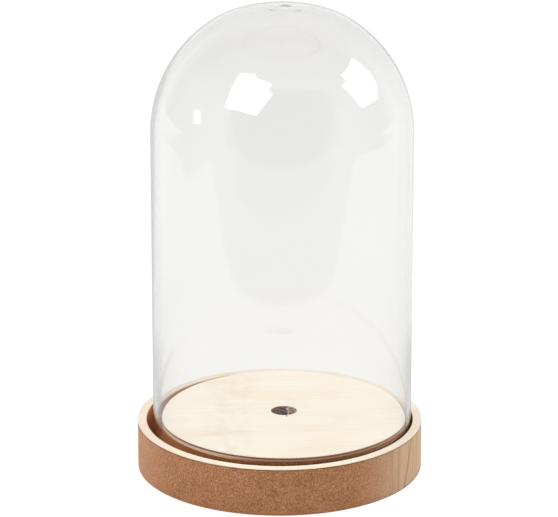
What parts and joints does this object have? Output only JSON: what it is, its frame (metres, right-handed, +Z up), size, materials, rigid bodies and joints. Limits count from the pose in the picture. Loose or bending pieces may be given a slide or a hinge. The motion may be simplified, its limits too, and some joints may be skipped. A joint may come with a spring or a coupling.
{
  "type": "bell jar dome",
  "caption": "Clear bell-shaped display cover that stands in the groove of a round wooden base with a raised disc and a cable hole.",
  "frame": {"origin": "centre of the base hoop, on the plane that the base stands on", "axes": "+Z up along the cover's axis; the front is -Y; disc and cover sit slightly towards +X of the hoop's centre"},
  "size_m": [0.1306, 0.1306, 0.2178],
  "materials": {
    "clear_cover": "clear, polished",
    "brown_core": "fine brown board edge, matt",
    "pale_veneer": "pale sanded veneer, matt"
  },
  "bodies": {
    "base": {"floor_board": "brown_core", "hoop_core": "brown_core", "hoop_top_veneer": "pale_veneer", "hoop_base_veneer": "pale_veneer", "disc_core": "brown_core", "disc_top_veneer": "pale_veneer", "disc_base_veneer": "pale_veneer"},
    "cover": {"clear_dome": "clear_cover"}
  },
  "joints": [
    {"name": "cover_lift", "type": "slide", "parent": "base", "child": "cover", "axis": [0, 0, 1], "range_m": [0, 0.2]}
  ]
}
